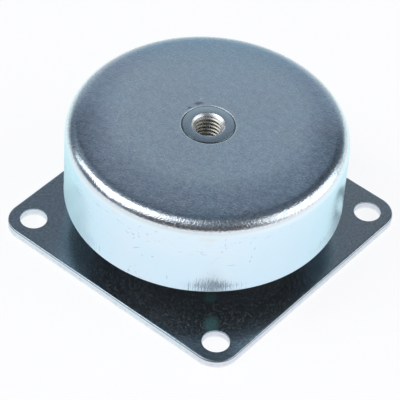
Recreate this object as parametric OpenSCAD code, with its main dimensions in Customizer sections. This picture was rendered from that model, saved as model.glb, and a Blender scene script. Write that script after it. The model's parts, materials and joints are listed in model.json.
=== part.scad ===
// Cup anti-vibration mount. A deep-drawn steel cup stands over a square base plate and is
// carried by a hollow cone of rubber bonded between the two. A turned bush with an
// internal thread is set flush in the middle of the cup's top.
// Lengths are in millimetres. Z is up and the origin is the middle of the plate's underside.

/* [Base plate] */
// Side of the square plate
plate_side = 94.5; // [90:0.5:110]
// Thickness of the plate
plate_t = 3; // [2:0.5:5]
// Radius of the plate's four corners, seen from above
plate_corner_r = 8; // [4:0.5:12]
// Radius rolled over the plate's upper edge by the blanking punch
plate_edge_r = 0.8; // [0.2:0.1:1.2]
// Distance from the plate's sides to the centres of the fixing holes
hole_margin = 8.25; // [7:0.25:12]
// Diameter of the fixing holes, clearance for an M8 bolt
hole_d = 9; // [5:0.5:11]
// Radius rolled over the upper edge of each punched hole
hole_edge_r = 0.3; // [0.1:0.1:0.6]
// Diameter of the centre hole, under the hollow of the rubber
centre_hole_d = 30; // [20:1:40]

/* [Cup] */
// Outer diameter of the cup's wall
cup_od = 91; // [86:0.5:100]
// Wall of the cup's sheet steel
cup_t = 2; // [1.5:0.25:3]
// Outer radius of the bend between the cup's top and its wall
cup_bend_r = 5; // [4:0.5:8]
// Depth of the cup, from its top face down to its rim
cup_depth = 28.7; // [20:0.1:32]
// Radius that breaks the rim's two trimmed edges
rim_edge_r = 0.3; // [0.1:0.1:0.6]
// Height of the cup's top face above the surface that the mount stands on
free_height = 44; // [40:0.5:50]

/* [Threaded bush] */
// Diameter of the bush where it fills the hole in the cup's top
spigot_d = 17.2; // [15:0.2:20]
// Diameter of the bush's flange, under the cup's top
flange_d = 28; // [24:0.5:32]
// Thickness of the bush's flange
flange_t = 3; // [2:0.5:5]
// Diameter of the bush below its flange
barrel_d = 17; // [15:0.5:20]
// Length of the bush, from the cup's top face to its lower end
bush_len = 16; // [12:0.5:20]
// Bore of the bush at the crests of its M10 thread
thread_bore_d = 8.5; // [6:0.1:9]
// Outer diameter of the countersink at the thread's mouth
mouth_d = 10.9; // [10:0.1:12]
// Width of the chamfer round the bush's lower end
bush_chamfer = 1; // [0.5:0.25:1.5]
// Width and depth of each chamfer that makes the groove between bush and cup
joint_chamfer = 0.3; // [0.1:0.05:0.5]

/* [Rubber spring] */
// Outer diameter of the rubber at its foot, above the bonding lip
foot_d = 60; // [54:1:64]
// Outer diameter of the rubber at its head, below the bonding lip
head_d = 75; // [68:1:76]
// Diameter of the hollow at the rubber's foot
hollow_foot_d = 32; // [30:1:36]
// Diameter of the hollow at the rubber's head
hollow_head_d = 37; // [34:1:42]
// How far the outer flank is drawn in between foot and head
flank_sag = 3; // [1:0.5:5]
// Reach of the bonding lip beyond the rubber's foot and head
lip_w = 2; // [1:0.25:2.5]
// Thickness of the bonding lip
lip_t = 1.4; // [0.8:0.2:2]
// Radius of the fillet between flank and bonding lip
lip_fillet_r = 1.5; // [0.5:0.25:1.5]

/* [Hidden] */
$fn = 96;

// Extra reach of a cutting shape past the face that it cuts
past = 1;

rim_z = free_height - cup_depth;
cup_ceiling_z = free_height - cup_t;
rubber_h = cup_ceiling_z - plate_t;

// Half the distance between the centres of neighbouring corner rounds
corner_c = plate_side / 2 - plate_corner_r;
// Half the distance between the centres of neighbouring fixing holes
hole_c = plate_side / 2 - hole_margin;

// Half section of a disc or sheet edge: a rectangle of the given reach and height whose
// outer upper corner has the given radius
module rounded_section(reach, height, r) {
    square([reach - r, height]);
    square([reach, height - r]);
    translate([reach - r, height - r])
        circle(r);
}

// Cutter for a round hole whose upper edge is rolled over to the given radius
module punched_hole(d, height, edge_r) {
    translate([0, 0, -past])
        cylinder(d = d, h = height + 2 * past);
    translate([0, 0, height - edge_r])
        rotate_extrude()
            difference() {
                square([d / 2 + edge_r, edge_r + past]);
                translate([d / 2 + edge_r, 0])
                    circle(edge_r);
            }
}

// Square blank with round corners and a rolled upper edge
module plate_blank() {
    translate([-corner_c, -corner_c, 0])
        cube([2 * corner_c, 2 * corner_c, plate_t]);
    for (side = [0:3])
        rotate(90 * side) {
            translate([corner_c, corner_c, 0])
                rotate([90, 0, 0])
                    linear_extrude(2 * corner_c)
                        rounded_section(plate_corner_r, plate_t, plate_edge_r);
            translate([corner_c, corner_c, 0])
                rotate_extrude(angle = 90)
                    rounded_section(plate_corner_r, plate_t, plate_edge_r);
        }
}

module base_plate() {
    color([0.36, 0.41, 0.45])
        difference() {
            plate_blank();
            for (x = [-1, 1], y = [-1, 1])
                translate([x * hole_c, y * hole_c, 0])
                    punched_hole(hole_d, plate_t, hole_edge_r);
            punched_hole(centre_hole_d, plate_t, hole_edge_r);
        }
}

// What is cut away outside an arc that joins the flank's two ends, drawn in by the sag
module flank_cut(low, high, sag) {
    chord = norm(high - low);
    r = (chord * chord / 4 + sag * sag) / (2 * sag);
    outward = [high[1] - low[1], low[0] - high[0]] / chord;
    intersection() {
        translate((low + high) / 2 + outward * (r - sag))
            circle(r, $fn = 360);
        translate([0, low[1]])
            square([r, high[1] - low[1]]);
    }
}

// Half section of the rubber, with its foot at zero height
module rubber_section() {
    low = [foot_d / 2, lip_t + lip_fillet_r];
    high = [head_d / 2, rubber_h - lip_t - lip_fillet_r];
    foot_lip_r = foot_d / 2 + lip_w;
    head_lip_r = head_d / 2 + lip_w;
    difference() {
        union() {
            polygon([
                [hollow_foot_d / 2, 0],
                [foot_d / 2, 0],
                low,
                high,
                [head_d / 2, rubber_h],
                [hollow_head_d / 2, rubber_h]
            ]);
            lip(foot_d / 2, 0, 1);
            lip(head_d / 2, rubber_h, -1);
        }
        flank_cut(low, high, flank_sag);
    }
}

// Bonding lip beyond the radius r, growing up or down from the metal at height z
module lip(r, z, up) {
    translate([r, z])
        scale([1, up])
            difference() {
                union() {
                    translate([-past, 0])
                        square([past + lip_w, lip_t]);
                    translate([-past, 0])
                        square([past + lip_fillet_r, lip_t + lip_fillet_r]);
                }
                translate([lip_fillet_r, lip_t + lip_fillet_r])
                    circle(lip_fillet_r);
            }
}

module rubber_spring() {
    color([0.08, 0.08, 0.09])
        translate([0, 0, plate_t])
            rotate_extrude()
                rubber_section();
}

// Half section of the drawn cup, standing on its rim
module cup_section() {
    inner_r = cup_od / 2 - cup_t;
    difference() {
        rounded_section(cup_od / 2, cup_depth, cup_bend_r);
        translate([0, -past])
            rounded_section(inner_r, cup_depth - cup_t + past, cup_bend_r - cup_t);
        // Hole for the bush, with its upper edge chamfered
        translate([0, cup_depth - cup_t - past])
            square([spigot_d / 2, cup_t + 2 * past]);
        translate([spigot_d / 2, cup_depth])
            rotate(45)
                square(joint_chamfer * sqrt(2), center = true);
        // The trimmed rim's broken edges
        translate([cup_od / 2 - rim_edge_r, rim_edge_r])
            rotate(-90)
                edge_break(rim_edge_r);
        translate([inner_r + rim_edge_r, rim_edge_r])
            rotate(180)
                edge_break(rim_edge_r);
    }
}

// What is cut away to round a square corner that points along +X and +Y
module edge_break(r) {
    difference() {
        square(r + past);
        circle(r);
    }
}

module cup() {
    color([0.72, 0.78, 0.82])
        translate([0, 0, rim_z])
            rotate_extrude()
                cup_section();
}

// Half section of the turned bush, with its upper face at zero height
module bush_section() {
    mouth_depth = (mouth_d - thread_bore_d) / 2;
    polygon([
        [mouth_d / 2, 0],
        [spigot_d / 2 - joint_chamfer, 0],
        [spigot_d / 2, -joint_chamfer],
        [spigot_d / 2, -cup_t],
        [flange_d / 2, -cup_t],
        [flange_d / 2, -cup_t - flange_t],
        [barrel_d / 2, -cup_t - flange_t],
        [barrel_d / 2, bush_chamfer - bush_len],
        [barrel_d / 2 - bush_chamfer, -bush_len],
        [mouth_d / 2, -bush_len],
        [thread_bore_d / 2, mouth_depth - bush_len],
        [thread_bore_d / 2, -mouth_depth]
    ]);
}

module threaded_bush() {
    color([0.62, 0.63, 0.62])
        translate([0, 0, free_height])
            rotate_extrude()
                bush_section();
}

base_plate();
rubber_spring();
cup();
threaded_bush();
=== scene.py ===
"""Cup anti-vibration mount: a zinc-plated cup over a square base plate, with a rubber spring
between them and a threaded bush in the cup's top.

Lengths are in metres. Z is up and the origin is the middle of the plate's underside."""

import json
import math

import bmesh
import bpy
from mathutils import Matrix, Vector


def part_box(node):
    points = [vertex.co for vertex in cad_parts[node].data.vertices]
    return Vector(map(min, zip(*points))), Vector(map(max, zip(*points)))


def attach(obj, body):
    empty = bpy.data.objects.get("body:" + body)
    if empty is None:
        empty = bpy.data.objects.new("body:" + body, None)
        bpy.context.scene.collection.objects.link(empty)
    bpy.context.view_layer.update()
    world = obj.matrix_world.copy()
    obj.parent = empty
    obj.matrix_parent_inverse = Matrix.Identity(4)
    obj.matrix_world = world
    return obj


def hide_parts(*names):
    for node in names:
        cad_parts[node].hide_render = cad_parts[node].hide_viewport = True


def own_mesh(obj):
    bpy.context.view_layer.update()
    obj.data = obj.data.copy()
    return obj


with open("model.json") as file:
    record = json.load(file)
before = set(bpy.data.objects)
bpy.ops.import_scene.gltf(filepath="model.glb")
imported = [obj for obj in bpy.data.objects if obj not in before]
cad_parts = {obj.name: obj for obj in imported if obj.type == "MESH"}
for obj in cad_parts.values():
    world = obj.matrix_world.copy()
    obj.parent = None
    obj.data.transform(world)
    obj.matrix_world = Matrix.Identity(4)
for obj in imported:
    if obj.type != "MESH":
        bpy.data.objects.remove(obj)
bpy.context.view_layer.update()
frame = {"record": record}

MM = 0.001
scene = bpy.context.scene
mount_dims = {m["name"]: m["dims"] for m in frame["record"]["mounts"]}


def whole_hundredths(metres):
    """A measured length to the nearest hundredth of a millimetre."""
    return round(metres, 5)


# Sizes of the base plate
plate_low, plate_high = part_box("base_plate")
PLATE_SIDE = whole_hundredths(plate_high.x - plate_low.x)
PLATE_T = whole_hundredths(plate_high.z - plate_low.z)
PLATE_CORNER_R = 8 * MM
HOLE_PITCH = mount_dims["base_bolts"]["spacing_x_mm"] * MM
# The plating takes a little off the holes
HOLE_R = (mount_dims["base_bolts"]["hole_r_mm"] - 0.05) * MM
CENTRE_HOLE_R = 15 * MM
# The blanking punch draws the upper edge over by this width and depth
ROLL_W = 0.6 * MM
ROLL_H = 0.5 * MM
BURR_R = 0.12 * MM
HOLE_EDGE_R = 0.1 * MM
# Width of the flat ring that keeps the shading of an edge off the face beside it
RING_W = 0.15 * MM

# Sizes of the cup
cup_low, cup_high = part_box("cup")
CUP_R = whole_hundredths((cup_high.x - cup_low.x) / 2)
CUP_TOP = whole_hundredths(cup_high.z)
CUP_RIM = whole_hundredths(cup_low.z)
CUP_T = 2 * MM
CUP_BEND_R = 5 * MM
RIM_EDGE_R = 0.12 * MM
# The drawn top falls away a little towards its bend, and the wall opens a little at its rim
CROWN_START_R = 30 * MM
CROWN_DROP = 0.1 * MM
CROWN_POWER = 5
FLARE = 0.05 * MM
FLARE_H = 1.8 * MM
FLARE_POWER = 2
WALL_R = CUP_R - FLARE

# Sizes of the bush
bush_low, bush_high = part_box("threaded_bush")
BUSH_LOW = whole_hundredths(bush_low.z)
FLANGE_R = whole_hundredths((bush_high.x - bush_low.x) / 2)
FLANGE_T = 3 * MM
SPIGOT_R = 8.6 * MM
BARREL_R = 8.5 * MM
MOUTH_R = 5.45 * MM
BUSH_CHAMFER = 1 * MM
BUSH_EDGE = 0.25 * MM
BARREL_FILLET = 0.4 * MM
# The bush is turned down beside the cup's hole, to this depth and by this gap
GROOVE_H = 0.6 * MM
GAP = 0.17 * MM
CUP_HOLE_EDGE_R = 0.45 * MM
BORE_R = mount_dims["machine_thread"]["r_mm"] * MM
THREAD_R = 5 * MM
THREAD_PITCH = 1.5 * MM

# Sizes of the rubber spring
rubber_low, rubber_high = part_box("rubber_spring")
RUBBER_FOOT = whole_hundredths(rubber_low.z)
RUBBER_HEAD = whole_hundredths(rubber_high.z)
HEAD_LIP_R = whole_hundredths((rubber_high.x - rubber_low.x) / 2)
FOOT_R = 30 * MM
HEAD_R = 37.5 * MM
LIP_W = 2 * MM
LIP_T = 1.4 * MM
LIP_EDGE_R = 0.4 * MM
LIP_FILLET_R = 1.5 * MM
HOLLOW_FOOT_R = 16 * MM
HOLLOW_HEAD_R = 18.5 * MM
FLANK_SAG = 3 * MM

# Points closer than MERGE become one, and points closer than NEAR to a face count as on it
MERGE = 0.001 * MM
NEAR = 0.01 * MM

Z_UP = Vector((0, 0, 1))


# Modelling

def deselect():
    bpy.ops.object.select_all(action="DESELECT")


def edit_all():
    """Goes into edit mode with every point selected."""
    bpy.ops.object.mode_set(mode="EDIT")
    bpy.ops.mesh.select_mode(type="VERT")
    bpy.ops.mesh.select_all(action="SELECT")


def arc(centre, r, start, end, steps):
    """Points along an arc in a half section, from one angle in degrees to another."""
    turns = [math.radians(start + (end - start) * k / steps) for k in range(steps + 1)]
    return [(centre[0] + r * math.cos(a), centre[1] + r * math.sin(a)) for a in turns]


def ring_stack(name, rings, segments):
    """A circle extruded from ring to ring, each a radius and a height, and back to the first."""
    deselect()
    r, z = rings[0]
    bpy.ops.mesh.primitive_circle_add(vertices=segments, radius=r, location=(0, 0, z))
    piece = bpy.context.object
    piece.name = name
    bpy.ops.object.transform_apply(location=True, rotation=False, scale=False)
    edit_all()
    for (r0, z0), (r1, z1) in zip(rings, rings[1:] + rings[:1]):
        bpy.ops.mesh.extrude_region_move(TRANSFORM_OT_translate={"value": (0, 0, z1 - z0)})
        bpy.ops.transform.resize(value=(r1 / r0, r1 / r0, 1), center_override=(0, 0, z1))
    close_mesh()
    return piece


def close_mesh():
    """Merges doubles, turns the faces outwards and goes back to object mode."""
    edit_all()
    bpy.ops.mesh.remove_doubles(threshold=MERGE)
    bpy.ops.mesh.normals_make_consistent(inside=False)
    bpy.ops.object.mode_set(mode="OBJECT")


def pick(piece, kind, test):
    """In edit mode: selects only the faces or edges that pass the test."""
    bpy.ops.mesh.select_mode(type={"edges": "EDGE", "faces": "FACE"}[kind])
    bpy.ops.mesh.select_all(action="DESELECT")
    mesh = bmesh.from_edit_mesh(piece.data)
    for part in getattr(mesh, kind):
        if test(part):
            part.select_set(True)
    mesh.select_flush_mode()
    bmesh.update_edit_mesh(piece.data)


def cut(piece, cutter):
    """Takes the cutter out of the piece and deletes the cutter."""
    deselect()
    piece.select_set(True)
    bpy.context.view_layer.objects.active = piece
    tool = piece.modifiers.new("cut", "BOOLEAN")
    tool.operation = "DIFFERENCE"
    tool.solver = "EXACT"
    tool.object = cutter
    bpy.ops.object.modifier_apply(modifier=tool.name)
    bpy.data.objects.remove(cutter)


def smooth(piece, degrees):
    deselect()
    piece.select_set(True)
    bpy.context.view_layer.objects.active = piece
    bpy.ops.object.shade_smooth_by_angle(angle=math.radians(degrees))


def round_hole_cutter(r, x, y):
    deselect()
    bpy.ops.mesh.primitive_cylinder_add(
        vertices=96, radius=r, depth=4 * PLATE_T, location=(x, y, 0)
    )
    return bpy.context.object


def is_hole_edge(edge, centres):
    """Whether an edge lies on the upper end of one of the plate's round holes."""
    for vert in edge.verts:
        if vert.co.z < PLATE_T - NEAR:
            return False
        x, y = vert.co.x, vert.co.y
        near = [abs(math.hypot(x - cx, y - cy) - HOLE_R) for cx, cy in centres]
        near.append(abs(math.hypot(x, y) - CENTRE_HOLE_R))
        if min(near) > 2 * NEAR:
            return False
    return True


def make_plate():
    """Blank with round corners, punched holes and a drawn-over upper edge."""
    deselect()
    blank_top = PLATE_T - ROLL_H
    bpy.ops.mesh.primitive_cube_add(size=1, location=(0, 0, blank_top / 2))
    plate = bpy.context.object
    plate.name = "base_plate_sheet"
    plate.dimensions = (PLATE_SIDE, PLATE_SIDE, blank_top)
    bpy.ops.object.transform_apply(location=True, rotation=False, scale=True)
    bpy.ops.object.mode_set(mode="EDIT")
    pick(plate, "edges", lambda e: abs(e.verts[0].co.z - e.verts[1].co.z) > blank_top / 2)
    bpy.ops.mesh.bevel(offset=PLATE_CORNER_R, segments=24, affect="EDGES")
    # The upper face is drawn in and up in steps along a quarter ellipse
    steps = 8
    pick(plate, "faces", lambda f: f.normal.z > 0.9)
    for k in range(steps):
        a, b = (math.pi / 2 * n / steps for n in (k, k + 1))
        bpy.ops.mesh.inset(
            thickness=ROLL_W * (math.cos(a) - math.cos(b)),
            depth=ROLL_H * (math.sin(b) - math.sin(a)),
            use_even_offset=True,
        )
    bpy.ops.object.mode_set(mode="OBJECT")

    centres = [(x * HOLE_PITCH / 2, y * HOLE_PITCH / 2) for x in (-1, 1) for y in (-1, 1)]
    for x, y in centres:
        cut(plate, round_hole_cutter(HOLE_R, x, y))
    cut(plate, round_hole_cutter(CENTRE_HOLE_R, 0, 0))
    bpy.ops.object.mode_set(mode="EDIT")
    pick(plate, "edges", lambda e: is_hole_edge(e, centres))
    bpy.ops.mesh.bevel(offset=HOLE_EDGE_R, segments=4, affect="EDGES")
    upper_face_z = PLATE_T - NEAR
    pick(plate, "faces", lambda f: f.normal.z > 0.999 and f.calc_center_median().z > upper_face_z)
    bpy.ops.mesh.inset(thickness=RING_W, depth=0, use_even_offset=True)
    # The lower edge has a small burr, broken by tumbling
    pick(plate, "faces", lambda f: f.normal.z < -0.9)
    bpy.ops.mesh.region_to_loop()
    bpy.ops.mesh.bevel(offset=BURR_R, segments=2, affect="EDGES")
    pick(plate, "faces", lambda f: f.normal.z < -0.99)
    bpy.ops.mesh.inset(thickness=RING_W, depth=0, use_even_offset=True)
    close_mesh()
    smooth(plate, 40)
    return plate


def crown(r):
    """Height of the cup's upper face at the radius r: flat, then falling towards the bend."""
    share = max(0.0, (r - CROWN_START_R) / (WALL_R - CUP_BEND_R - CROWN_START_R))
    return CUP_TOP - CROWN_DROP * share ** CROWN_POWER


def flare(z):
    """Radius of the cup's wall at the height z."""
    share = max(0.0, 1 - (z - CUP_RIM) / FLARE_H)
    return WALL_R + FLARE * share ** FLARE_POWER


def make_cup():
    """Drawn shell: hole edge, falling top, round bend, wall that opens at its rim, and inside."""
    bend_start = WALL_R - CUP_BEND_R
    top_radii = [SPIGOT_R + CUP_HOLE_EDGE_R + 0.1 * MM, 12 * MM, 20 * MM]
    top_radii += [CROWN_START_R + (bend_start - CROWN_START_R) * k / 12 for k in range(12)]
    # The bend starts at the slope of the top, and is widened a little so that it ends on the wall
    slope = math.atan(CROWN_POWER * CROWN_DROP / (bend_start - CROWN_START_R))
    lean = CUP_BEND_R * math.sin(slope)
    widen = CUP_BEND_R / (CUP_BEND_R - lean)
    bend_z = crown(bend_start) - CUP_BEND_R * math.cos(slope)
    bend = [
        (bend_start + (x - lean) * widen, bend_z + z)
        for x, z in arc((0, 0), CUP_BEND_R, 90 - math.degrees(slope), 0, 32)
    ]
    inner_r = CUP_R - CUP_T
    inner_bend_r = CUP_BEND_R - CUP_T
    ceiling = CUP_TOP - CUP_T
    hole_edge = (SPIGOT_R + CUP_HOLE_EDGE_R, CUP_TOP - CUP_HOLE_EDGE_R)
    rim_z = CUP_RIM + RIM_EDGE_R
    # Rings close beside a round keep its shading off the flat next to it
    beside_edge = 0.1 * MM
    beside_bend = 0.3 * MM
    rings = [(SPIGOT_R, ceiling)] + arc(hole_edge, CUP_HOLE_EDGE_R, 180, 90, 8)
    rings += [(r, crown(r)) for r in top_radii]
    rings += bend
    rings += [(WALL_R, bend_z - beside_bend)]
    heights = [CUP_RIM + FLARE_H * (1 - k / 12) for k in range(12)]
    rings += [(flare(z), z) for z in heights]
    rings += [(CUP_R - 0.01 * MM, rim_z + beside_edge)]
    rings += arc((CUP_R - RIM_EDGE_R, rim_z), RIM_EDGE_R, 0, -90, 5)
    rings += arc((inner_r + RIM_EDGE_R, rim_z), RIM_EDGE_R, -90, -180, 5)
    rings += [(inner_r, rim_z + beside_edge), (inner_r, ceiling - inner_bend_r - beside_bend)]
    rings += arc((inner_r - inner_bend_r, ceiling - inner_bend_r), inner_bend_r, 0, 90, 16)
    rings += [(inner_r - inner_bend_r - beside_bend, ceiling), (SPIGOT_R + beside_bend, ceiling)]
    cup = ring_stack("cup_shell", rings, 256)
    smooth(cup, 40)
    return cup


def profile_line(name, points):
    """A single vertex extruded from point to point, each an X and a Z."""
    deselect()
    bpy.ops.mesh.primitive_plane_add(size=MM, location=(points[0][0], 0, points[0][1]))
    line = bpy.context.object
    line.name = name
    bpy.ops.object.transform_apply(location=True, rotation=False, scale=False)
    edit_all()
    bpy.ops.mesh.merge(type="CENTER")
    for (x0, z0), (x1, z1) in zip(points, points[1:]):
        bpy.ops.mesh.extrude_region_move(TRANSFORM_OT_translate={"value": (x1 - x0, 0, z1 - z0)})
    bpy.ops.object.mode_set(mode="OBJECT")
    return line


def thread_cutter():
    """One pitch of a 60 degree thread form, wound up past both ends of the bush and capped."""
    core_r = BORE_R - 0.3 * MM
    root_w = THREAD_PITCH / 8
    flank_h = (THREAD_R - core_r) * math.tan(math.radians(30))
    start = BUSH_LOW - 2 * THREAD_PITCH
    turns = math.ceil((CUP_TOP - BUSH_LOW) / THREAD_PITCH) + 3
    land = THREAD_PITCH - root_w - 2 * flank_h
    points = [
        (core_r, start),
        (core_r, start + land),
        (THREAD_R, start + land + flank_h),
        (THREAD_R, start + land + flank_h + root_w),
        (core_r, start + THREAD_PITCH),
    ]
    cutter = profile_line("thread_cutter", points)
    wind = cutter.modifiers.new("wind", "SCREW")
    wind.axis = "Z"
    wind.angle = 2 * math.pi
    wind.screw_offset = THREAD_PITCH
    wind.iterations = turns
    wind.steps = wind.render_steps = 96
    wind.use_merge_vertices = True
    wind.merge_threshold = MERGE
    bpy.context.view_layer.objects.active = cutter
    bpy.ops.object.modifier_apply(modifier=wind.name)
    edit_all()
    bpy.ops.mesh.remove_doubles(threshold=MERGE)
    middle = (CUP_TOP + BUSH_LOW) / 2
    for upper in (False, True):
        pick(cutter, "edges", lambda e: e.is_boundary and (e.verts[0].co.z > middle) == upper)
        bpy.ops.mesh.extrude_region_move()
        bpy.ops.mesh.merge(type="CENTER")
    close_mesh()
    return cutter


def make_bush():
    """Turned blank with a countersink at both ends, then the thread cut through it."""
    shoulder = CUP_TOP - CUP_T
    flange_low = shoulder - FLANGE_T
    mouth_depth = MOUTH_R - BORE_R
    rings = [
        (BORE_R, BUSH_LOW + mouth_depth),
        (BORE_R, CUP_TOP - mouth_depth),
        (MOUTH_R - 0.05 * MM, CUP_TOP - 0.05 * MM),
        (MOUTH_R + 0.05 * MM, CUP_TOP),
        (MOUTH_R + 0.2 * MM, CUP_TOP),
        (SPIGOT_R - GAP - 0.2 * MM, CUP_TOP),
        (SPIGOT_R - GAP - 0.1 * MM, CUP_TOP - 0.02 * MM),
        (SPIGOT_R - GAP, CUP_TOP - 0.12 * MM),
        (SPIGOT_R - GAP, CUP_TOP - GROOVE_H),
        (SPIGOT_R, CUP_TOP - GROOVE_H),
        (SPIGOT_R, shoulder),
        (FLANGE_R - BUSH_EDGE, shoulder),
        (FLANGE_R, shoulder - BUSH_EDGE),
        (FLANGE_R, flange_low + BUSH_EDGE),
        (FLANGE_R - BUSH_EDGE, flange_low),
        (BARREL_R + BARREL_FILLET, flange_low),
        (BARREL_R, flange_low - BARREL_FILLET),
        (BARREL_R, BUSH_LOW + BUSH_CHAMFER),
        (BARREL_R - BUSH_CHAMFER, BUSH_LOW),
        (MOUTH_R, BUSH_LOW),
    ]
    bush = ring_stack("bush_turned", rings, 192)
    cut(bush, thread_cutter())
    smooth(bush, 30)
    return bush


def make_rubber():
    """Hollow moulded cone with drawn-in flanks and a bonding lip at each end."""
    low = (FOOT_R, RUBBER_FOOT + LIP_T + LIP_FILLET_R)
    high = (HEAD_R, RUBBER_HEAD - LIP_T - LIP_FILLET_R)
    steps = 24
    flank = []
    for share in (k / steps for k in range(1, steps)):
        bow = 4 * share * (1 - share) * FLANK_SAG
        r = low[0] + (high[0] - low[0]) * share - bow
        flank.append((r, low[1] + (high[1] - low[1]) * share))
    foot_edge_r = FOOT_R + LIP_W - LIP_EDGE_R
    head_edge_r = HEAD_LIP_R - LIP_EDGE_R
    rings = [(HOLLOW_FOOT_R, RUBBER_FOOT), (foot_edge_r, RUBBER_FOOT)]
    rings += arc((foot_edge_r, RUBBER_FOOT + LIP_EDGE_R), LIP_EDGE_R, -90, 0, 4)[1:]
    rings += arc((foot_edge_r, RUBBER_FOOT + LIP_T - LIP_EDGE_R), LIP_EDGE_R, 0, 90, 4)
    rings += arc((low[0] + LIP_FILLET_R, low[1]), LIP_FILLET_R, -95, -170, 6)
    rings += flank
    rings += arc((high[0] + LIP_FILLET_R, high[1]), LIP_FILLET_R, 170, 95, 6)
    rings += arc((head_edge_r, RUBBER_HEAD - LIP_T + LIP_EDGE_R), LIP_EDGE_R, -90, 0, 4)
    rings += [(HEAD_LIP_R, RUBBER_HEAD), (HOLLOW_HEAD_R, RUBBER_HEAD)]
    rubber = ring_stack("rubber_moulding", rings, 128)
    smooth(rubber, 50)
    return rubber


plate = make_plate()
cup = make_cup()
bush = make_bush()
rubber = make_rubber()


# Camera, at the photograph's angle

IMAGE_PX = 400
SENSOR_MM = 36
CAMERA_ELEVATION = math.radians(45.16)
# Turned from the plate's diagonal, and rolled about the line of sight
CAMERA_TURN = math.radians(45 - 7.59)
CAMERA_ROLL = math.radians(4.24)
CAMERA_DISTANCE = 0.7457
FOCAL_PX = 2259
AIM_RIGHT = -0.91 * MM
AIM_UP = 6.96 * MM

# Unit vectors seen from the camera: to its right, away from it along the floor, and back to it
RIGHT = Vector((math.cos(CAMERA_TURN), math.sin(CAMERA_TURN), 0))
AWAY = Vector((-math.sin(CAMERA_TURN), math.cos(CAMERA_TURN), 0))
BACK = -AWAY * math.cos(CAMERA_ELEVATION) + Z_UP * math.sin(CAMERA_ELEVATION)
UP = BACK.cross(RIGHT)


# Materials

class Wire:
    """A value on its way through a material's nodes, so that sums are written as sums."""

    def __init__(self, bench, socket):
        self.bench = bench
        self.socket = socket

    def sum(self, operation, first, second):
        return self.bench.node("ShaderNodeMath", {"operation": operation}, {0: first, 1: second})

    def __add__(self, other):
        return self.sum("ADD", self, other)

    def __radd__(self, other):
        return self.sum("ADD", other, self)

    def __sub__(self, other):
        return self.sum("SUBTRACT", self, other)

    def __rsub__(self, other):
        return self.sum("SUBTRACT", other, self)

    def __mul__(self, other):
        return self.sum("MULTIPLY", self, other)

    def __rmul__(self, other):
        return self.sum("MULTIPLY", other, self)

    def __pow__(self, other):
        return self.sum("POWER", self, other)

    def __abs__(self):
        return self.bench.node("ShaderNodeMath", {"operation": "ABSOLUTE"}, {0: self})


class Bench:
    """Where one material's nodes are laid out."""

    def __init__(self, tree):
        self.tree = tree

    def node(self, kind, settings=None, sockets=None, out=0):
        """A new node with its settings and what its sockets take, as one of its outputs."""
        made = self.tree.nodes.new(kind)
        for name, value in (settings or {}).items():
            setattr(made, name, value)
        for name, value in (sockets or {}).items():
            self.feed(made.inputs[name], value)
        return Wire(self, made.outputs[out])

    def feed(self, socket, value):
        """Links a wire to the socket, or sets it to a plain value or colour."""
        if isinstance(value, Wire):
            self.tree.links.new(value.socket, socket)
        elif hasattr(socket.default_value, "__len__") and len(socket.default_value) == 4:
            socket.default_value = (*value, 1)
        else:
            socket.default_value = value

    def step(self, low, high, value):
        """Smoothly from 0 at low to 1 at high."""
        return self.node(
            "ShaderNodeMapRange",
            {"interpolation_type": "SMOOTHSTEP"},
            {0: value, 1: low, 2: high},
        )

    def part(self, place, axis):
        return self.node("ShaderNodeSeparateXYZ", {}, {0: place}, out=axis)

    def radius(self, place):
        """Distance from the upright axis."""
        x, y = self.part(place, "X"), self.part(place, "Y")
        return (x * x + y * y) ** 0.5

    def dot(self, place, axis):
        return self.node(
            "ShaderNodeVectorMath",
            {"operation": "DOT_PRODUCT"},
            {0: place, 1: tuple(axis)},
            out="Value",
        )

    def noise(self, place, scale, detail, out=0):
        """Grain from about 0 to 1 around 0.5, with its scale in waves a metre."""
        sockets = {"Vector": place, "Scale": scale, "Detail": detail}
        return self.node("ShaderNodeTexNoise", {}, sockets, out)

    def times(self, first, second):
        """Two vectors or colours multiplied part by part, or one by a plain value."""
        return self.node("ShaderNodeVectorMath", {"operation": "MULTIPLY"}, {0: first, 1: second})

    def tint(self, share, first, second):
        """The first colour where the share is 0, and the second where it is 1."""
        sockets = {0: share, 6: first, 7: second}
        return self.node("ShaderNodeMix", {"data_type": "RGBA"}, sockets, out=2)

    def spot(self, place, point, along, across, half):
        """1 in a small oval round the point and 0 outside it. Half sizes are in millimetres."""
        turned = Matrix((along, across, along.cross(across))).transposed().to_euler()
        sockets = {
            "Vector": place,
            "Location": tuple(point),
            "Rotation": tuple(turned),
            "Scale": tuple(h * MM for h in half),
        }
        local = self.node("ShaderNodeMapping", {"vector_type": "TEXTURE"}, sockets)
        away = self.node("ShaderNodeVectorMath", {"operation": "LENGTH"}, {0: local}, out="Value")
        return self.step(1, 0.4, away)

    def wander(self, place, scale, reach):
        """The place pushed about by soft noise, which makes even shapes uneven."""
        push = self.noise(place, scale, 1, out="Color")
        sockets = {0: push, 1: (0.5, 0.5, 0.5)}
        push = self.node("ShaderNodeVectorMath", {"operation": "SUBTRACT"}, sockets)
        sockets = {0: place, 1: self.times(push, (reach, reach, reach))}
        return self.node("ShaderNodeVectorMath", {"operation": "ADD"}, sockets)

    def bump(self, height, distance):
        return self.node("ShaderNodeBump", {}, {"Height": height, "Distance": distance})


def new_material(name):
    material = bpy.data.materials.new(name)
    material.use_nodes = True
    bench = Bench(material.node_tree)
    shader = material.node_tree.nodes["Principled BSDF"]
    place = bench.node("ShaderNodeTexCoord", {}, {}, out="Object")
    return material, bench, shader, place


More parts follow.
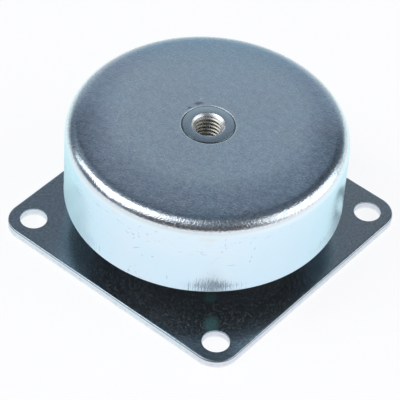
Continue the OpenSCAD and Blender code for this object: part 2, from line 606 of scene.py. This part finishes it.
def flat_marks(bench, place, face_z, marks):
    """Small marks on a level face, from one of the tables below."""
    found = 0
    place = bench.wander(place, 700, 1.5 * MM)
    for right, away, length, width, angle in marks:
        a = math.radians(angle)
        point = (RIGHT * right + AWAY * away) * MM + Z_UP * face_z
        along = RIGHT * math.cos(a) + AWAY * math.sin(a)
        found = found + bench.spot(place, point, along, Z_UP.cross(along), (length, width, 1))
    return found


def wall_marks(bench, place, marks):
    """Small marks on the cup's wall, from one of the tables below."""
    found = 0
    place = bench.wander(place, 400, 1.6 * MM)
    for turn, z, length, width, angle in marks:
        a, t = math.radians(angle), math.radians(turn)
        point = (RIGHT * math.sin(t) - AWAY * math.cos(t)) * CUP_R + Z_UP * z * MM
        level = RIGHT * math.cos(t) + AWAY * math.sin(t)
        along = level * math.cos(a) + Z_UP * math.sin(a)
        across = Z_UP * math.cos(a) - level * math.sin(a)
        found = found + bench.spot(place, point, along, across, (length, width, 2))
    return found


def hairlines(bench, place, scale):
    """Thin wandering scuff lines, broken up and in scattered places."""
    line = abs(bench.noise(place, scale, 3) - 0.5)
    broken = bench.step(0.5, 0.6, bench.noise(place, 9 * scale, 1))
    scattered = bench.step(0.55, 0.62, bench.noise(place, 0.6 * scale, 1))
    return bench.step(0.012, 0.003, line) * broken * scattered


# Colours of the blue passivated zinc with its clouds and stains and with painted highlight,
# reflection and shade tints, of the turned steel and of rubber
ZINC = (0.69, 0.83, 0.94)
ZINC_AT_GRAZING = (0.8, 1.0, 1.0)
ZINC_TOP = (0.705, 0.84, 0.98)
ZINC_BLUE = (0.67, 0.84, 1.0)
ZINC_DEEP_BLUE = (0.62, 0.84, 1.0)
ZINC_ON_BEND = (0.75, 0.82, 0.89)
ZINC_CREAM = (0.73, 0.83, 0.9)
# Cyan painted on the wall's ends as a reflection tint
ZINC_END_REFLECTION_TINT = (0.6, 0.92, 1.0)
# Pale tint painted on the hole's edge as a highlight
ZINC_PAINTED_HIGHLIGHT = (0.85, 0.97, 1.0)
BROWN_STAIN = (0.75, 0.7, 0.58)
# Teal painted on the plate as glints, a painted reflection
PAINTED_TEAL_GLINT = (0.3, 0.85, 0.82)
DARK_SCUFF = (0.2, 0.24, 0.3)
# Dark painted on the plate's upper edge as shade
EDGE_SHADE = (0.1, 0.13, 0.16)
PLATE_AT_GRAZING = (0.92, 1, 1)
SHEARED_LEFT = (0.77, 0.81, 0.85)
SHEARED_RIGHT = (0.77, 0.76, 0.82)
STEEL_FACE = (0.72, 0.88, 0.97)
STEEL_BORE = (0.98, 1.0, 0.98)
STEEL_DEEP = (0.8, 0.79, 0.71)
RUBBER_DARK = (0.03, 0.03, 0.032)
RUBBER_PALE = (0.07, 0.07, 0.072)
BLACK = (0, 0, 0)
WHITE = (1, 1, 1)

# Each mark has a place, a half length, a half width and an angle. On a level face the place is to
# the camera's right and away from it, and on the wall it is an angle round from the camera's side
# and a height. Lengths are in millimetres and angles in degrees.
TOP_LIGHT_MARKS = [
    (-24.2, 27.4, 1.5, 0.3, 50), (-29.2, -1.6, 1.2, 0.3, 80), (-21.6, 7.8, 0.4, 0.4, 0),
    (-29.4, -16.6, 0.35, 0.5, 0), (-26.8, -10.8, 0.45, 0.45, 0), (-27.1, -25.3, 0.5, 0.35, 0),
    (-28.9, -18.6, 1.0, 0.3, 0), (-3.0, 11.6, 1.4, 0.3, 50), (-3.0, 11.8, 1.2, 0.3, -55),
    (-5.5, -13.2, 1.0, 0.35, 30), (-5.8, -11.8, 1.0, 0.3, -45), (21.5, -1.2, 1.5, 0.28, 35),
    (21.5, -1.2, 1.2, 0.28, -50), (6.6, 12.7, 0.4, 0.6, 0), (1.5, 12.1, 0.45, 0.5, 0),
]
TOP_DARK_MARKS = [(-3.4, 9.4, 1.9, 1.0, 15), (-6.2, 7.0, 1.4, 0.7, 40)]
WALL_DARK_MARKS = [
    (-22.7, 26.1, 0.6, 0.45, 0), (-18.0, 27.0, 0.5, 0.4, 0), (13.2, 27.1, 1.7, 0.3, 0),
    (-20.6, 36.3, 0.8, 0.25, 10), (-25.4, 28.6, 2.0, 0.25, 35), (-11.9, 19.8, 0.25, 1.2, 0),
    (9.9, 39.0, 0.25, 0.8, 0), (10.2, 36.2, 0.3, 1.1, 10), (13.6, 36.9, 0.5, 0.3, 0),
    (15.6, 36.6, 0.7, 0.3, 10), (8.8, 33.3, 0.6, 0.4, 30), (19.7, 35.9, 0.3, 0.6, -20),
    (21.6, 32.9, 0.3, 0.8, 0), (21.1, 29.4, 0.3, 0.7, 0), (20.4, 27.7, 0.4, 0.5, 0),
    (26.2, 29.0, 0.3, 0.3, 0), (-15.0, 40.8, 0.9, 0.5, 0), (-17.9, 41.2, 0.8, 0.4, 0),
    (23.3, 40.9, 1.0, 0.3, 0), (-55.9, 40.4, 1.0, 0.5, 20), (-45.2, 36.6, 2.8, 0.2, -3),
    (-40.0, 37.1, 1.5, 0.18, -3), (-33.1, 35.8, 2.2, 0.2, -4), (-28.5, 35.5, 1.5, 0.22, -5),
    (-33.1, 40.0, 1.0, 0.4, 10), (-30.5, 39.8, 0.9, 0.3, 20), (-20.8, 36.0, 0.9, 0.3, -10),
    (-17.1, 38.8, 0.5, 0.3, 0), (-24.6, 35.2, 0.5, 0.3, 0), (52.7, 40.2, 0.8, 0.4, 20),
    (50.2, 40.3, 0.7, 0.3, 10), (28.6, 42.0, 1.0, 0.4, 0),
]
WALL_BROWN_MARKS = [
    (-3.1, 31.3, 0.9, 0.8, 0), (3.0, 38.5, 4.0, 1.2, 0), (-36.0, 39.0, 3.0, 1.2, 0),
]
PLATE_LIGHT_MARKS = [
    (-44.5, -17.4, 1.2, 0.25, -15), (16.3, -42.8, 0.4, 0.3, 0), (14.5, -44.7, 0.8, 0.25, 40),
]
# Soft teal spots painted in front of the cup as glints, a painted reflection
PLATE_TEAL_GLINTS = [(4.7, -36.6, 2.5, 2.8, 0), (5.5, -47.8, 3.2, 5.0, 0)]


def zinc_cup():
    material, bench, shader, place = new_material("zinc_cup")
    shader.inputs["Specular Tint"].default_value = (*ZINC_AT_GRAZING, 1)
    z, r = bench.part(place, "Z"), bench.radius(place)
    right, away = bench.dot(place, RIGHT), bench.dot(place, AWAY)
    ends = abs(right)

    # Where the top, the bend, the wall and its rim are
    top = bench.step(CUP_TOP - 0.6 * MM, CUP_TOP - 0.12 * MM, z)
    wall = bench.step(CUP_TOP - 4.5 * MM, CUP_TOP - 6 * MM, z)
    bend = 1 - top - wall
    upper_bend = bench.step(CUP_TOP - 3.3 * MM, CUP_TOP - 2.4 * MM, z)
    curve = bend * upper_bend * bench.step(20 * MM, 30 * MM, r)
    rim = wall * bench.step(CUP_RIM + 9 * MM, CUP_RIM + 3 * MM, z)
    lip = bench.step(CUP_RIM + 2.2 * MM, CUP_RIM, z)
    # The middle that handling has dulled lies a little to the far side
    ahead = away - 5 * MM
    middle = bench.step(39 * MM, 28 * MM, (right * right + ahead * ahead) ** 0.5)
    # The wall's ends are dull and painted cyan as a painted reflection tint, the left one more than
    # the right
    dull_ends_and_painted_tint = bench.step(-29 * MM, -42 * MM, right) + 0.4 * bench.step(32 * MM, 42 * MM, right)
    dull_ends_and_painted_tint = dull_ends_and_painted_tint * bench.step(CUP_RIM + 24 * MM, CUP_RIM + 12 * MM, z)
    # Painted highlight: the edge of the hole round the bush is paler, less metallic and rougher,
    # standing in for the light on its round
    hole_edge_highlight = bench.step(SPIGOT_R + 0.65 * MM, SPIGOT_R + 0.35 * MM, r)
    hole_edge_highlight = hole_edge_highlight * bench.step(CUP_TOP - 0.5 * MM, CUP_TOP - 0.35 * MM, z)

    cloud = bench.noise(place, 55, 3)
    mottle = bench.noise(place, 1500, 2)
    blotch = bench.noise(place, 480, 3)
    speck = bench.step(0.6, 0.72, bench.noise(place, 1500, 1)) * top
    light = flat_marks(bench, place, CUP_TOP, TOP_LIGHT_MARKS) + speck * 0.45
    light = light + top * hairlines(bench, place, 150) * 0.6
    scuff = bench.step(0.56, 0.7, bench.noise(place, 420, 3))
    scuff = scuff * bench.step(CUP_TOP - 11 * MM, CUP_TOP - 6 * MM, z)
    wall_dark = wall_marks(bench, place, WALL_DARK_MARKS) * 0.22
    wall_dark = wall_dark + hairlines(bench, place, 90) * 0.22 + scuff * 0.06
    dark = flat_marks(bench, place, CUP_TOP, TOP_DARK_MARKS) * 0.7 + wall * wall_dark

    # Blue and olive clouds of the passivation on the top, bluer on the right and the far side
    film = bench.tint(top, ZINC, ZINC_TOP)
    film = bench.tint(top * bench.step(0.38, 0.62, cloud + 4 * right), film, ZINC_BLUE)
    film = bench.tint(top * bench.step(14 * MM, 36 * MM, ahead), film, ZINC_DEEP_BLUE)
    warm = bend * bench.step(CUP_TOP - 4 * MM, CUP_TOP - 2 * MM, z)
    film = bench.tint(warm * bench.step(44 * MM, 32 * MM, ends), film, ZINC_ON_BEND)
    # A painted cyan reflection tint towards the wall's left end, and creamy in patches
    film = bench.tint(wall * bench.step(-36 * MM, -44 * MM, right), film, ZINC_DEEP_BLUE)
    film = bench.tint(wall * bench.step(0.5, 0.62, cloud) * 0.5, film, ZINC_CREAM)
    film = bench.tint(wall_marks(bench, place, WALL_BROWN_MARKS) * 0.25, film, BROWN_STAIN)
    # Grain, stronger near the camera, a darker ring round the middle of the top, and painted shade
    # on the front ends of the top
    near = 0.75 - 9 * away
    fleck = ((mottle - 0.5) * 0.8 + (blotch - 0.5) * 0.6) * top * near + (mottle - 0.5) * curve
    front_end_shade = bench.step(29 * MM, 41 * MM, ends) * bench.step(8 * MM, -8 * MM, ahead)
    shade = 0.13 - 0.13 * middle + 0.26 * front_end_shade
    film = bench.times(film, 1.07 - top * shade + fleck)
    film = bench.tint(dark, film, DARK_SCUFF)
    film = bench.tint(dull_ends_and_painted_tint * 0.5, film, ZINC_END_REFLECTION_TINT)
    film = bench.tint(hole_edge_highlight * 0.8, film, ZINC_PAINTED_HIGHLIGHT)
    bench.feed(shader.inputs["Base Color"], film)

    haze = top * middle * (0.6 + 0.8 * cloud)
    metal = 1 - 0.22 * haze - 0.24 * light - 0.45 * dull_ends_and_painted_tint - 0.1 * lip - 0.3 * hole_edge_highlight
    bench.feed(shader.inputs["Metallic"], metal)
    rough = 0.16 + 0.08 * cloud - 0.06 * wall - 0.03 * bend + 0.05 * rim
    bench.feed(shader.inputs["Roughness"], rough + 0.34 * dull_ends_and_painted_tint + 0.12 * hole_edge_highlight)

    # The stretched sheet is coarse round the top and on the bend, with drawing lines near the rim
    coarse = bench.noise(place, 750, 2)
    fine = bench.noise(place, 2500, 2)
    grit = bench.noise(place, 1350, 1)
    streak = bench.noise(bench.times(place, (1, 1, 0.04)), 2400, 2)
    rim_zone = top * bench.step(28 * MM, 38 * MM, r)
    rough_curve = curve * (1.3 - 0.7 * bench.step(12 * MM, 34 * MM, ends))
    height = coarse * (0.02 + 0.08 * top + 0.15 * curve)
    height = height + fine * (0.25 * top + rough_curve + 0.75 * rim_zone)
    height = height + grit * (0.9 * rough_curve + 0.25 * rim_zone) + streak * rim * 3 + lip
    bench.feed(shader.inputs["Normal"], bench.bump(height, 0.06 * MM))
    return material


def zinc_plate():
    material, bench, shader, place = new_material("zinc_plate")
    shader.inputs["Specular Tint"].default_value = (*PLATE_AT_GRAZING, 1)
    z, r = bench.part(place, "Z"), bench.radius(place)
    right, away = bench.dot(place, RIGHT), bench.dot(place, AWAY)
    on_right = bench.step(-5 * MM, 5 * MM, right)
    face = bench.step(PLATE_T - 0.2 * MM, PLATE_T - 0.02 * MM, z)
    side = bench.step(PLATE_T - 0.35 * MM, PLATE_T - 0.6 * MM, z)
    cloud = bench.noise(place, 60, 3)
    mottle = bench.noise(place, 1300, 2)
    speck = bench.step(0.54, 0.66, bench.noise(place, 1400, 1)) * face
    # Painted reflection: two soft teal glints on the face in front of the cup, tinted and less
    # metallic
    teal_glint = flat_marks(bench, place, PLATE_T, PLATE_TEAL_GLINTS)
    light = flat_marks(bench, place, PLATE_T, PLATE_LIGHT_MARKS) + speck * 0.8 * (1 - teal_glint)

    # Painted shade: the face is darker at its left end and at its front corner, and a painted
    # reflection tint makes it warmer on the right
    shade = 0.16 + 0.12 * bench.step(-25 * MM, -50 * MM, right)
    shade = shade + 0.25 * bench.step(-47 * MM, -57 * MM, away)
    film = bench.times(ZINC, 0.88 - face * shade + (mottle - 0.5) * 0.7 * (1 - 0.7 * teal_glint))
    warm = bench.tint(face * bench.step(15 * MM, 30 * MM, right), WHITE, (0.98, 0.95, 0.9))
    film = bench.times(film, warm)
    film = bench.tint(teal_glint * 0.65, film, PAINTED_TEAL_GLINT)
    # The sheared sides are paler and torn in their lower part, and painted light makes them whitest
    # where they meet the table
    torn = bench.step(0.45, 0.65, bench.noise(place, 900, 3))
    torn = torn * bench.step(0.55 * PLATE_T, 0.45 * PLATE_T, z)
    sheared = bench.tint(on_right, SHEARED_LEFT, SHEARED_RIGHT)
    film = bench.tint(side, film, bench.times(sheared, 1.05 - 0.16 * torn))
    outside = bench.step(CUP_R, CUP_R + 1 * MM, r)
    film = bench.tint(0.75 * outside * bench.step(1.3 * MM, 0.2 * MM, z), film, WHITE)
    # Painted shade: a dark line between the drawn-over edge and the sheared side, darker on the
    # right
    painted_edge_shade = bench.step(PLATE_T - 0.6 * MM, PLATE_T - 0.45 * MM, z)
    painted_edge_shade = painted_edge_shade * bench.step(PLATE_T - 0.12 * MM, PLATE_T - 0.25 * MM, z)
    film = bench.tint(painted_edge_shade * (0.45 + 0.3 * on_right), film, EDGE_SHADE)
    bench.feed(shader.inputs["Base Color"], film)

    bench.feed(shader.inputs["Metallic"], 0.985 - 0.02 * cloud - 0.2 * light - 0.14 * teal_glint)
    bench.feed(shader.inputs["Roughness"], 0.22 + 0.08 * cloud + 0.12 * side)
    grain = bench.noise(place, 1700, 2)
    bench.feed(shader.inputs["Normal"], bench.bump(grain * (1 + 2 * side), 0.015 * MM))
    return material


def turned_steel():
    material, bench, shader, place = new_material("turned_steel")
    shader.inputs["Metallic"].default_value = 1
    z, r = bench.part(place, "Z"), bench.radius(place)
    inside = bench.step(MOUTH_R + 0.1 * MM, MOUTH_R - 0.2 * MM, r)
    deep = inside * bench.step(CUP_TOP - 0.8 * MM, CUP_TOP - 2 * MM, z)
    # Painted shade in the groove between bush and cup
    groove_shade = bench.step(SPIGOT_R - 0.5 * MM, SPIGOT_R - 0.3 * MM, r)
    groove_shade = groove_shade * bench.step(CUP_TOP - 1 * MM, CUP_TOP - 0.7 * MM, z)
    mottle = bench.noise(place, 1200, 2)
    film = bench.tint(inside, STEEL_FACE, STEEL_BORE)
    film = bench.tint(deep, film, STEEL_DEEP)
    film = bench.tint(0.06 + 0.6 * groove_shade - (mottle - 0.5) * 0.3, film, BLACK)
    bench.feed(shader.inputs["Base Color"], film)
    bench.feed(shader.inputs["Roughness"], 0.2 + 0.1 * inside + 0.1 * mottle)
    # Turning marks, as noise along the radius alone
    sockets = {"W": r, "Scale": 4500, "Detail": 1}
    rings = bench.node("ShaderNodeTexNoise", {"noise_dimensions": "1D"}, sockets)
    bench.feed(shader.inputs["Normal"], bench.bump(rings * (1 - inside) + mottle * 0.5, 0.012 * MM))
    return material


def black_rubber():
    material, bench, shader, place = new_material("black_rubber")
    shader.inputs["Roughness"].default_value = 0.6
    grain = bench.noise(place, 900, 3)
    bench.feed(shader.inputs["Base Color"], bench.tint(grain, RUBBER_DARK, RUBBER_PALE))
    bench.feed(shader.inputs["Normal"], bench.bump(grain, 0.05 * MM))
    return material


def dress(piece, material, body, node):
    piece.data.materials.clear()
    piece.data.materials.append(material)
    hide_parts(node)
    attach(piece, body)


dress(plate, zinc_plate(), "base", "base_plate")
dress(rubber, black_rubber(), "base", "rubber_spring")
dress(cup, zinc_cup(), "cup", "cup")
dress(bush, turned_steel(), "cup", "threaded_bush")
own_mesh(rubber)


# Camera, floor, lamps and surroundings

FLOOR_SIZE = 6
# The floor is this far under the plate, so that the two faces don't fight
FLOOR_GAP = 0.05 * MM
# Colours of the floor: what the camera sees, what takes the lamps' light, and the tones that the
# metal reflects from near the mount, from further off and from the far side
FLOOR_SEEN = (0.855, 0.855, 0.87)
FLOOR_MATT = (0.25, 0.25, 0.24)
FLOOR_NEAR = (0.95, 1.0, 1.036)
FLOOR_FAR = (1.05, 1.0, 0.955)
FLOOR_BEHIND = (1.12, 0.99, 0.97)
LAMP_DISTANCE = 1.2
# Tones of the room where it is dark, where it is pale, and behind the camera
ROOM_DARK = (0.87, 1.0, 1.2)
ROOM_PALE = (1.05, 1.0, 0.97)
ROOM_REAR = (1.04, 1.0, 1.02)
IN_DEGREES = 180 / math.pi


def make_camera():
    lens = bpy.data.cameras.new("camera")
    lens.sensor_width = SENSOR_MM
    lens.lens = FOCAL_PX / IMAGE_PX * SENSOR_MM
    lens.clip_start = 0.01
    camera = bpy.data.objects.new("camera", lens)
    scene.collection.objects.link(camera)
    spot = RIGHT * AIM_RIGHT + UP * AIM_UP + BACK * CAMERA_DISTANCE
    right = RIGHT * math.cos(CAMERA_ROLL) + UP * math.sin(CAMERA_ROLL)
    up = UP * math.cos(CAMERA_ROLL) - RIGHT * math.sin(CAMERA_ROLL)
    turned = Matrix((right, up, BACK)).transposed().to_4x4()
    camera.matrix_world = Matrix.Translation(spot) @ turned
    scene.camera = camera


def soft_box(name, azimuth, elevation, roll, width, height, radiance):
    """A square lamp that faces the mount. Angles are in degrees, the azimuth clockwise from AWAY,
    and a radiance of 1 is a white that just clips."""
    light = bpy.data.lights.new(name, "AREA")
    light.shape = "RECTANGLE"
    light.size = width
    light.size_y = height
    light.energy = radiance * math.pi * width * height
    box = bpy.data.objects.new(name, light)
    scene.collection.objects.link(box)
    a, e, t = (math.radians(v) for v in (azimuth, elevation, roll))
    out = (RIGHT * math.sin(a) + AWAY * math.cos(a)) * math.cos(e) + Z_UP * math.sin(e)
    level = out.cross(Z_UP).normalized()
    rise = level.cross(out)
    along = level * math.cos(t) + rise * math.sin(t)
    across = rise * math.cos(t) - level * math.sin(t)
    turned = Matrix((-along, across, out)).transposed().to_4x4()
    box.matrix_world = Matrix.Translation(out * LAMP_DISTANCE) @ turned


def make_floor():
    """White table. What the metal reflects of it fades with distance, most on the far left."""
    deselect()
    bpy.ops.mesh.primitive_plane_add(size=FLOOR_SIZE, location=(0, 0, -FLOOR_GAP))
    floor = bpy.context.object
    floor.name = "floor"
    material = bpy.data.materials.new("white_table")
    material.use_nodes = True
    tree = material.node_tree
    bench = Bench(tree)
    tree.nodes.remove(tree.nodes["Principled BSDF"])
    place = bench.node("ShaderNodeTexCoord", {}, {}, out="Object")
    r = bench.radius(place)
    ahead, right = bench.dot(place, AWAY), bench.dot(place, RIGHT)
    # Lengths are in metres here
    fade = 0.2 - 0.08 * bench.step(0.06, 0.095, r) + 0.06 * bench.step(0.09, 0.25, r)
    fade = fade + 0.2 * bench.step(0.05, 0.65, ahead) ** 0.5
    fade = fade + 0.36 * bench.step(0.08, 1.2, 0 - right) ** 0.5 * bench.step(-0.5, 0.1, ahead)
    fade = fade + 0.12 * bench.step(0.08, 1.2, 0 - ahead) ** 0.5
    fade = fade - 0.05 * bench.step(0.05, 0.12, right) + 0.14 * bench.step(0.12, 0.6, right)
    tone = bench.tint(bench.step(0.055, 0.12, r), FLOOR_NEAR, FLOOR_FAR)
    tone = bench.tint(bench.step(0.06, 0.14, ahead), tone, FLOOR_BEHIND)
    reflected = bench.tint(fade, tone, BLACK)
    seen = bench.node("ShaderNodeLightPath", {}, {}, out="Is Camera Ray")
    level = bench.tint(seen, reflected, FLOOR_SEEN)
    matt = bench.node("ShaderNodeBsdfDiffuse", {}, {"Color": FLOOR_MATT})
    glow = bench.node("ShaderNodeEmission", {}, {"Color": level, "Strength": 1})
    both = bench.node("ShaderNodeAddShader", {}, {0: matt, 1: glow})
    # From below the table is clear, so that the plate's underside can be looked at
    below = bench.node("ShaderNodeNewGeometry", {}, {}, out="Backfacing")
    clear = bench.node("ShaderNodeBsdfTransparent")
    table = bench.node("ShaderNodeMixShader", {}, {0: below, 1: both, 2: clear})
    bench.feed(tree.nodes["Material Output"].inputs["Surface"], table)
    floor.data.materials.append(material)


def make_world():
    """A dim studio with a paler backdrop on the far side, seen in the metal and not by the camera.
    Heights and sides are in degrees, and the side is 0 straight ahead of the camera."""
    world = bpy.data.worlds.new("studio")
    scene.world = world
    world.use_nodes = True
    tree = world.node_tree
    bench = Bench(tree)
    back = tree.nodes["Background"]
    direction = bench.node("ShaderNodeTexCoord", {}, {}, out="Generated")
    up = bench.part(direction, "Z")
    height = bench.node("ShaderNodeMath", {"operation": "ARCSINE"}, {0: up}) * IN_DEGREES
    right, away = bench.dot(direction, RIGHT), bench.dot(direction, AWAY)
    side = bench.node("ShaderNodeMath", {"operation": "ARCTAN2"}, {0: right, 1: away})
    side = side * IN_DEGREES
    off = abs(side)
    # The dark of the room, darkest between the backdrop and the right box
    gap = bench.step(10, 25, side) * bench.step(64, 50, side)
    gap = gap * bench.step(22, 32, height) * bench.step(66, 54, height)
    level = 0.125 - 0.045 * gap - 0.025 * bench.step(120, 150, off)
    # Light that the left box spills on its screen and on the ceiling
    screen = bench.step(-25, -60, side) * bench.step(-140, -110, side)
    level = level + screen * bench.step(20, 34, height) * 0.12
    level = level + bench.step(60, 84, height) * bench.step(45, -70, side) * 0.06
    ceiling = bench.step(46, 64, height) * bench.step(92, 76, height)
    level = level + bench.step(138, 176, off) * ceiling * 0.2
    # Everything pales towards the horizon, lower down on the far left
    low_left = bench.step(-125, -88, side) * bench.step(-30, -52, side)
    raised = height + 8 * low_left - 2 * bench.step(100, 140, side)
    ground = bench.step(21, -3, raised) * bench.step(18, 44, off)
    level = level + (0.95 - level) * ground
    # Backdrop on the far side, with a round top, brighter downwards
    reach = (side * side + (height - 7) * (height - 7)) ** 0.5
    backdrop = bench.step(44.5, 28, reach) * bench.step(62, 8, off)
    level = level + (0.39 + 0.0062 * (38 - height) - level) * backdrop
    # The floor beyond the right box
    right_pale = bench.step(54, 66, side) * bench.step(132, 112, side)
    level = level + (0.9 - level) * right_pale * bench.step(26, 12, height)
    tone = bench.tint(bench.step(0.12, 0.8, level), ROOM_DARK, ROOM_PALE)
    rear = bench.step(110, 160, off) * bench.step(60, 40, height)
    tone = bench.tint(rear, tone, ROOM_REAR)
    seen = bench.node("ShaderNodeLightPath", {}, {}, out="Is Camera Ray")
    bench.feed(back.inputs["Color"], bench.tint(seen, tone, WHITE))
    bench.feed(back.inputs["Strength"], level + seen * (1 - level))


make_camera()
make_floor()
make_world()
soft_box(
    "left_box", azimuth=-105.5, elevation=53.2, roll=-60, width=1.14, height=0.71, radiance=1.5
)
soft_box("left_strip", azimuth=-74, elevation=30, roll=0, width=0.18, height=0.58, radiance=1.4)
soft_box("right_box", azimuth=96, elevation=32.5, roll=28, width=1.26, height=0.78, radiance=1.15)
scene.view_settings.view_transform = "Standard"
